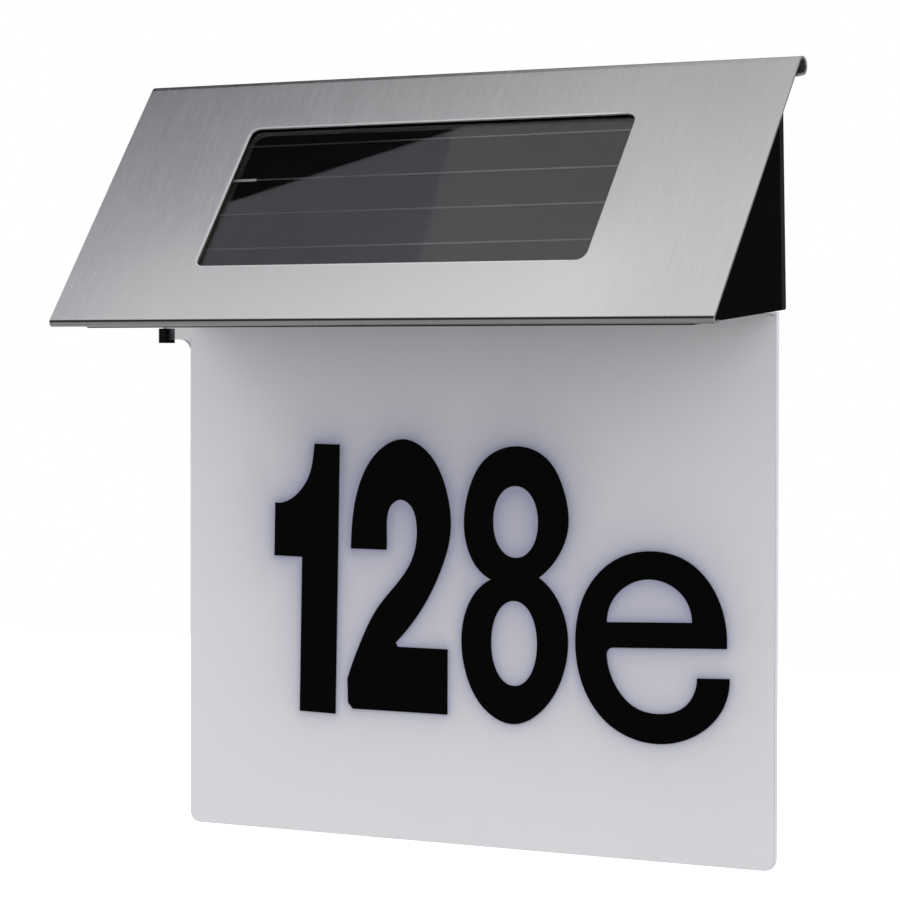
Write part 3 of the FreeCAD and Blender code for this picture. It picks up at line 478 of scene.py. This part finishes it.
def brushed_steel():
    """Stainless sheet, brushed up and down the slope, with raw cut edges, painted reflections and
    highlight.
    """
    f = Finish("brushed_steel")
    hair = f.streaks((0.16 * MM, 5 * MM, 5 * MM), 4, 0.7, turn=SLOPE)
    streak = f.streaks((0.8 * MM, 16 * MM, 16 * MM), 3, 0.6, turn=SLOPE)
    brushing = (hair * 0.6 + streak * 0.25 + f.noise(18, 2) * 0.15).fade(0.3, 0.7)
    x, _, z = f.position()
    sideways, _, upward = f.facing()
    # painted reflection: the uneven light of the room that the sheet mirrors
    left = x.fade(0.1, -0.07)
    upper_right = x.fade(0.05, 0.09) * z.fade(-0.01, 0.02)
    over_eave = z.fade(-0.002, -0.026) * x.fade(-0.11, -0.06) * x.fade(0.095, 0.05)
    tone = f.blend(brushing, grey(0.585), grey(0.685))
    for part, dark, light in ((left, (0.57, 0.57, 0.59), (0.76, 0.76, 0.79)),
                              (upper_right, grey(0.53), grey(0.61)),
                              (over_eave, grey(0.73), grey(0.78))):
        tone = f.blend(part, tone, f.blend(brushing, dark, light))
    # the lip: a painted dark reflection in its bend, a painted grey reflection below
    lip = z < LIP_TOP
    tone = f.blend(lip * upward.fade(0.59, 0.35), tone, grey(0.02))
    tone = f.blend(lip * upward.fade(0.08, -0.15), tone, f.blend(hair, grey(0.12), grey(0.24)))
    # a painted highlight on the window's rim, not at its right end, and bright wear along the edges
    across = (x - WINDOW.x).size() - (WINDOW_HALF[0] - WINDOW_CORNER)
    along = ((z - WINDOW.z) * (1 / math.sin(SLOPE))).size() - (WINDOW_HALF[1] - WINDOW_CORNER)
    from_window = across.either(0).hypot(along.either(0)) - WINDOW_CORNER
    rim = from_window.fade(0.6 * MM, 0.3 * MM) * x.fade(0.056, 0.05)
    rim_highlight_and_edge_wear = rim.either(f.edge(0.2 * MM) * 0.4)
    cut = sideways.size().fade(0.85, 0.98)
    f.set(Base_Color=f.blend(rim_highlight_and_edge_wear, f.blend(cut, tone, grey(0.3)), (0.92, 0.92, 0.93)))
    f.set(Metallic=1 - cut * 0.8, Roughness=0.25 + hair * 0.1 + streak * 0.06 + cut * 0.2)
    return f.bump(hair + streak * 0.4, 0.02 * MM, 0.3, rounding=0.15 * MM)


def moulded_black(name, colour, grain, shine):
    """Black plastic with a spark-eroded grain and edges polished by handling."""
    f = Finish(name, Specular_IOR_Level=shine)
    pits = f.cells(1 / grain)
    cloud = f.noise(60, 3)
    edge = f.edge(0.4 * MM)
    f.set(Base_Color=f.blend(edge * 0.7 + cloud * 0.3, grey(colour), grey(colour * 2.4)))
    f.set(Roughness=0.5 + cloud * 0.12 - edge * 0.15)
    return f.bump(pits + cloud * 0.4, 0.04 * MM, 0.5, rounding=0.3 * MM)


def black_vinyl():
    """Cut black film of the characters."""
    f = Finish("black_vinyl", Specular_IOR_Level=0.02)
    skin = f.noise(1800, 2)
    wave = f.noise(120, 2)
    edge = f.edge(0.1 * MM)
    f.set(Base_Color=f.blend(edge * 0.8 + wave * 0.2, grey(0.0003), grey(0.002)))
    f.set(Roughness=0.32 + wave * 0.1)
    return f.bump(skin + wave, 0.02 * MM, 0.35, rounding=0.06 * MM)


def rubber(name, colour, shine):
    """Black rubber with a little dust."""
    f = Finish(name, Specular_IOR_Level=shine)
    dust = f.noise(700, 4, 0.6)
    pale = dust.fade(0.45, 0.8) * 0.5 + f.edge(0.3 * MM) * 0.5
    f.set(Base_Color=f.blend(pale, grey(colour), grey(colour * 3)), Roughness=0.65 + dust * 0.2)
    return f.bump(dust, 0.05 * MM, 0.6, rounding=0.3 * MM)


def clear_sheet():
    """Clear sheet: see-through ear dimmed by painted shade, milky where film is stuck on, painted
    glow on sawn edges.
    """
    f = Finish("clear_sheet", IOR=ACRYLIC)
    x, _, z = f.position()
    scratch = f.streaks((0.4 * MM, 30 * MM, 30 * MM), 4, 0.7, turn=0.5).fade(0.6, 0.75)
    # the dim grey see-through tint is painted shade
    f.set(Base_Color=(0.12, 0.13, 0.16), Alpha=0.34 + scratch * 0.04)
    f.set(Roughness=0.03 + scratch * 0.08)
    f.bump(scratch, 0.02 * MM, 0.2)
    film_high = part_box("plate_film")[1]
    backed = (x.size() < film_high[0]) * (z < film_high[2])
    sawn = 1 - f.facing()[1].size().fade(0.6, 0.9)
    saw = f.streaks((0.6 * MM, 4 * MM, 0.6 * MM), 2)
    skin = f.second_skin(sawn.either(backed), IOR=ACRYLIC)
    glow = f.blend(saw, (0.62, 0.65, 0.70), (0.68, 0.71, 0.76))
    milk = f.blend(f.noise(25, 3), (0.72, 0.74, 0.77), (0.77, 0.79, 0.82))
    skin.set(Base_Color=f.blend(sawn, milk, glow))
    # painted glow of the sawn edges
    skin.set(Emission_Color=f.blend(sawn, grey(0), (0.19, 0.20, 0.22)), Emission_Strength=1.0)
    skin.set(Roughness=0.04 + scratch * 0.1 + sawn * (0.35 + saw * 0.2))
    skin.bump(saw * sawn + scratch * 0.3, 0.03 * MM, 0.4)
    return f


def light_guide():
    """Clear bar that spreads the light of the lamps."""
    f = Finish("light_guide", Base_Color=(0.95, 0.96, 0.98), Transmission_Weight=1.0, IOR=ACRYLIC)
    ripple = f.streaks((10 * MM, 1 * MM, 1 * MM), 3)
    f.set(Roughness=0.04 + ripple * 0.06)
    return f.bump(ripple, 0.02 * MM, 0.2)


def solar_glass():
    """Glossy clear cover with wiping marks."""
    f = Finish("solar_cover", Transmission_Weight=1.0, IOR=1.36, Roughness=0.0)
    wipe = f.streaks((40 * MM, 10 * MM, 10 * MM), 3, turn=SLOPE)
    f.set(Base_Color=f.blend(wipe.fade(0.5, 0.8), (0.95, 0.96, 1.0), (0.91, 0.92, 0.95)))
    return f.bump(f.noise(25, 1) + wipe * 0.2, 0.03 * MM, 0.08)


def silicon_cells():
    """Blue-black cell strips with a faint mottle of crystals, and a painted glow on the right."""
    f = Finish("silicon", Specular_IOR_Level=0.02)
    x, _, z = f.position()
    painted_glow = x.fade(-0.045, 0.02) * z.fade(0.018, -0.024)
    mottle = f.streaks((5 * MM, 4 * MM, 4 * MM), 2, turn=SLOPE) * x.fade(0.0, 0.03)
    tint = f.blend(x.fade(0.006, 0.012), (0.011, 0.0155, 0.022), grey(0.017))
    f.set(Base_Color=f.blend(mottle, grey(0.002), grey(0.003)), Roughness=0.5 + mottle * 0.1)
    # painted glow: emission lightens the cells on the right, in place of the light on them
    f.set(Emission_Color=f.blend(painted_glow * (0.8 + mottle * 0.3), grey(0), tint))
    f.set(Emission_Strength=1.0)
    return f.bump(f.noise(300, 1), 0.004 * MM, 0.1)


def ribbon_tin():
    """Dull tinned ribbons, the second from the top with a bright bare tab at its left end."""
    f = Finish("ribbon_tin")
    x, _, z = f.position()
    tab_level = EAVE.z + TAB_RUN * math.sin(SLOPE)
    tab = x.fade(-0.0528, -0.0532) * ((z - tab_level).size() < 3 * MM)
    # painted shade: the ribbons are darker at the upper left
    outside_painted_shade = x.fade(-0.02, 0.01).either((z - WINDOW.z - 0.008) < 0)
    skin = f.noise(900, 2)
    tin = f.blend(outside_painted_shade, grey(0.02), f.blend(skin, grey(0.07), grey(0.1)))
    f.set(Base_Color=f.blend(tab, tin, grey(0.45)), Metallic=1.0, Roughness=0.45 + skin * 0.1)
    # painted glow, brighter towards the right
    f.set(Emission_Color=f.blend(x.fade(-0.03, 0.03), grey(0.012), grey(0.06)))
    f.set(Emission_Strength=1.0)
    return f.bump(skin, 0.01 * MM, 0.3)


def screw_steel():
    """Dark zinc with painted shade in the cross."""
    f = Finish("screw_steel", Metallic=1.0)
    skin = f.noise(1500, 3)
    open_sky = f.node("ShaderNodeAmbientOcclusion", {"samples": 6}, {"Distance": 1.2 * MM}, "AO")
    bright = f.blend(skin * 0.6 + f.edge(0.3 * MM) * 0.6, (0.30, 0.30, 0.31), (0.55, 0.55, 0.56))
    # painted shade: darker in the hollow of the cross, where the occlusion node finds little open
    # sky
    f.set(Base_Color=f.blend(open_sky.fade(0.1, 0.7), grey(0.03), bright))
    f.set(Roughness=0.42 - open_sky * 0.12 + skin * 0.1)
    return f.bump(skin, 0.02 * MM, 0.4, rounding=0.2 * MM)


# ---- finishes of the inner pieces ----

def contact_nickel():
    """Plated metal with a fine uneven skin and bright edges."""
    f = Finish("contact_nickel", Metallic=1.0)
    skin = f.noise(900, 3)
    edge = f.edge(0.25 * MM)
    f.set(Base_Color=f.blend(skin * 0.7 + edge * 0.5, (0.525, 0.51, 0.48), (0.70, 0.68, 0.64)))
    f.set(Roughness=0.25 + skin * 0.15 - edge * 0.1)
    return f.bump(skin, 0.02 * MM, 0.4, rounding=0.2 * MM)


def battery_wrap():
    """Printed wrapper: a green can with a light band, bare metal at both ends."""
    f = Finish("battery_wrap", Coat_Weight=0.4, Coat_Roughness=0.15)
    x = f.position()[0]
    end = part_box("battery_cell")[1][0]
    button = x.fade(end - 2.2 * MM, end - 1.8 * MM)
    bare = f.facing()[0].size().fade(0.7, 0.9).either(button)
    band = x.fade(0.012, 0.0122)
    fleck = f.noise(500, 3)
    green = f.blend(fleck, (0.02, 0.12, 0.06), (0.03, 0.16, 0.08))
    wrap = f.blend(band, green, (0.62, 0.63, 0.64))
    f.set(Base_Color=f.blend(bare, wrap, grey(0.6)), Metallic=bare.either(band * 0.6))
    f.set(Roughness=0.3 + fleck * 0.12)
    return f.bump(fleck, 0.02 * MM, 0.3)


def solder_mask():
    """Green board with raised tracks and the bare resin of its cut sides."""
    f = Finish("solder_mask", Coat_Weight=0.3, Coat_Roughness=0.2)
    y = f.position()[1]
    broken = f.streaks((12 * MM, 1.2 * MM, 10 * MM), 1).fade(0.5, 0.56)
    track = y.waves(3900).fade(0.1, 0.5) * broken
    flat = f.facing()[2].size().fade(0.5, 0.9)
    mask = f.blend(track, (0.010, 0.085, 0.030), (0.020, 0.150, 0.055))
    f.set(Base_Color=f.blend(flat, (0.32, 0.30, 0.16), mask))
    f.set(Roughness=0.35 + f.noise(900, 2) * 0.15)
    return f.bump(track, 0.04 * MM, 0.5)


def led_white():
    """White lamp bodies with a yellow phosphor dome."""
    f = Finish("led_white")
    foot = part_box("leds")[0][2]
    body = f.position()[2].fade(foot + 0.28 * MM, foot + 0.32 * MM)
    grain = f.noise(2500, 2)
    f.set(Base_Color=f.blend(body, (0.85, 0.66, 0.12), f.blend(grain, grey(0.72), grey(0.82))))
    f.set(Roughness=0.3 + body * 0.2 + grain * 0.1)
    return f.bump(grain, 0.02 * MM, 0.3)


def chip_black():
    """Moulded chip with tinned legs."""
    f = Finish("chip_black")
    low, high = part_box("driver_chip")
    from_middle = (f.position()[1] - (low[1] + high[1]) / 2).size()
    leg = from_middle.fade(2.01 * MM, 2.04 * MM)
    grain = f.noise(4000, 2)
    f.set(Base_Color=f.blend(leg, f.blend(grain, grey(0.012), grey(0.03)), grey(0.6)))
    f.set(Metallic=leg, Roughness=0.5 - leg * 0.2 + grain * 0.15)
    return f.bump(grain, 0.02 * MM, 0.4)


def copper_coil():
    """Lacquered copper turns between two ferrite flanges."""
    f = Finish("copper_coil")
    z = f.position()[2]
    low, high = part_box("coil")
    quarter = (high[2] - low[2]) / 4
    flange = (z - (low[2] + high[2]) / 2).size().fade(quarter * 0.98, quarter)
    grain = f.noise(1500, 3)
    ferrite = f.blend(grain, grey(0.02), grey(0.06))
    f.set(Base_Color=f.blend(flange, (0.65, 0.26, 0.12), ferrite), Metallic=1 - flange)
    f.set(Roughness=0.3 + flange * 0.3 + grain * 0.1)
    return f.bump(z.waves(18000) * (1 - flange) + grain * 0.3, 0.04 * MM, 0.6)


def capacitor_sleeve():
    """Shrunk sleeve with a pale stripe and a bare top."""
    f = Finish("capacitor_sleeve", Coat_Weight=0.3, Coat_Roughness=0.2)
    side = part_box("capacitor")[1][0]
    stripe = f.position()[0].fade(side - 0.7 * MM, side - 0.6 * MM)
    top = f.facing()[2].fade(0.8, 0.95)
    fleck = f.noise(1200, 2)
    navy = f.blend(fleck, (0.012, 0.014, 0.03), (0.02, 0.022, 0.045))
    f.set(Base_Color=f.blend(top, f.blend(stripe, navy, grey(0.5)), grey(0.65)))
    f.set(Metallic=top, Roughness=0.35 + fleck * 0.12)
    return f.bump(fleck, 0.02 * MM, 0.3)


def wire_sleeve(name, dark, light):
    """Soft sleeve of a lead."""
    f = Finish(name, Coat_Weight=0.15, Coat_Roughness=0.3)
    ripple = f.noise(900, 3)
    f.set(Base_Color=f.blend(ripple, dark, light), Roughness=0.4 + ripple * 0.15)
    return f.bump(ripple, 0.03 * MM, 0.3)


def cell_foam():
    """Black foam with open pores."""
    f = Finish("cell_foam", Specular_IOR_Level=0.2)
    pores = f.cells(2200)
    # painted shade: darker down in the pores
    f.set(Base_Color=f.blend(pores.fade(0.1, 0.6), grey(0.02), grey(0.07)))
    f.set(Roughness=0.85 + pores * 0.1)
    return f.bump(pores, 0.2 * MM, 0.7)


def glass_board():
    """Backing board of woven glass and resin."""
    f = Finish("glass_board")
    x, _, z = f.position()
    weave = x.waves(4500) * z.waves(5500)
    cloud = f.noise(80, 3)
    f.set(Base_Color=f.blend(weave * 0.3 + cloud * 0.7, (0.20, 0.24, 0.14), (0.30, 0.33, 0.20)))
    f.set(Roughness=0.45 + cloud * 0.15)
    return f.bump(weave, 0.03 * MM, 0.4)


film = film_with_painted_shade()
film.data.materials.append(opal_white().material)
brushed_steel().on("roof_plate")
solar_glass().on("solar_cover")
silicon_cells().on("solar_cells")
ribbon_tin().on("solar_ribbons")
glass_board().on("solar_backboard")
rubber("gasket_rubber", colour=0.004, shine=0.3).on("solar_gasket")
cell_foam().on("foam_tape")
moulded_black("housing_black", colour=0.0014, grain=0.35 * MM, shine=0.16).on("housing_shell")
moulded_black("cover_black", colour=0.016, grain=0.5 * MM, shine=0.4).on("back_cover")
moulded_black("door_black", colour=0.02, grain=0.4 * MM, shine=0.4).on("battery_door")
moulded_black("switch_black", colour=0.03, grain=0.3 * MM, shine=0.4).on(
    "switch_body", "switch_knob")
screw_steel().on("cover_screws", "plate_screws", "board_screws")
clear_sheet().on("number_plate")
light_guide().on("light_bar")
rubber("clip_rubber", colour=0.0015, shine=0.08).on("end_buffer")
black_vinyl().on(*CHARACTERS)
battery_wrap().on("battery_cell")
contact_nickel().on("plus_contact", "spring_contact")
solder_mask().on("led_board")
led_white().on("leds")
chip_black().on("driver_chip")
copper_coil().on("coil")
capacitor_sleeve().on("capacitor")
wire_sleeve("red_sleeve", dark=(0.30, 0.012, 0.010), light=(0.42, 0.02, 0.016)).on(
    "lead_solar_plus", "lead_battery_plus", "lead_switch_in")
wire_sleeve("black_sleeve", dark=grey(0.008), light=grey(0.02)).on(
    "lead_solar_minus", "lead_battery_minus", "lead_switch_out")

bpy.context.scene.view_settings.view_transform = "Standard"
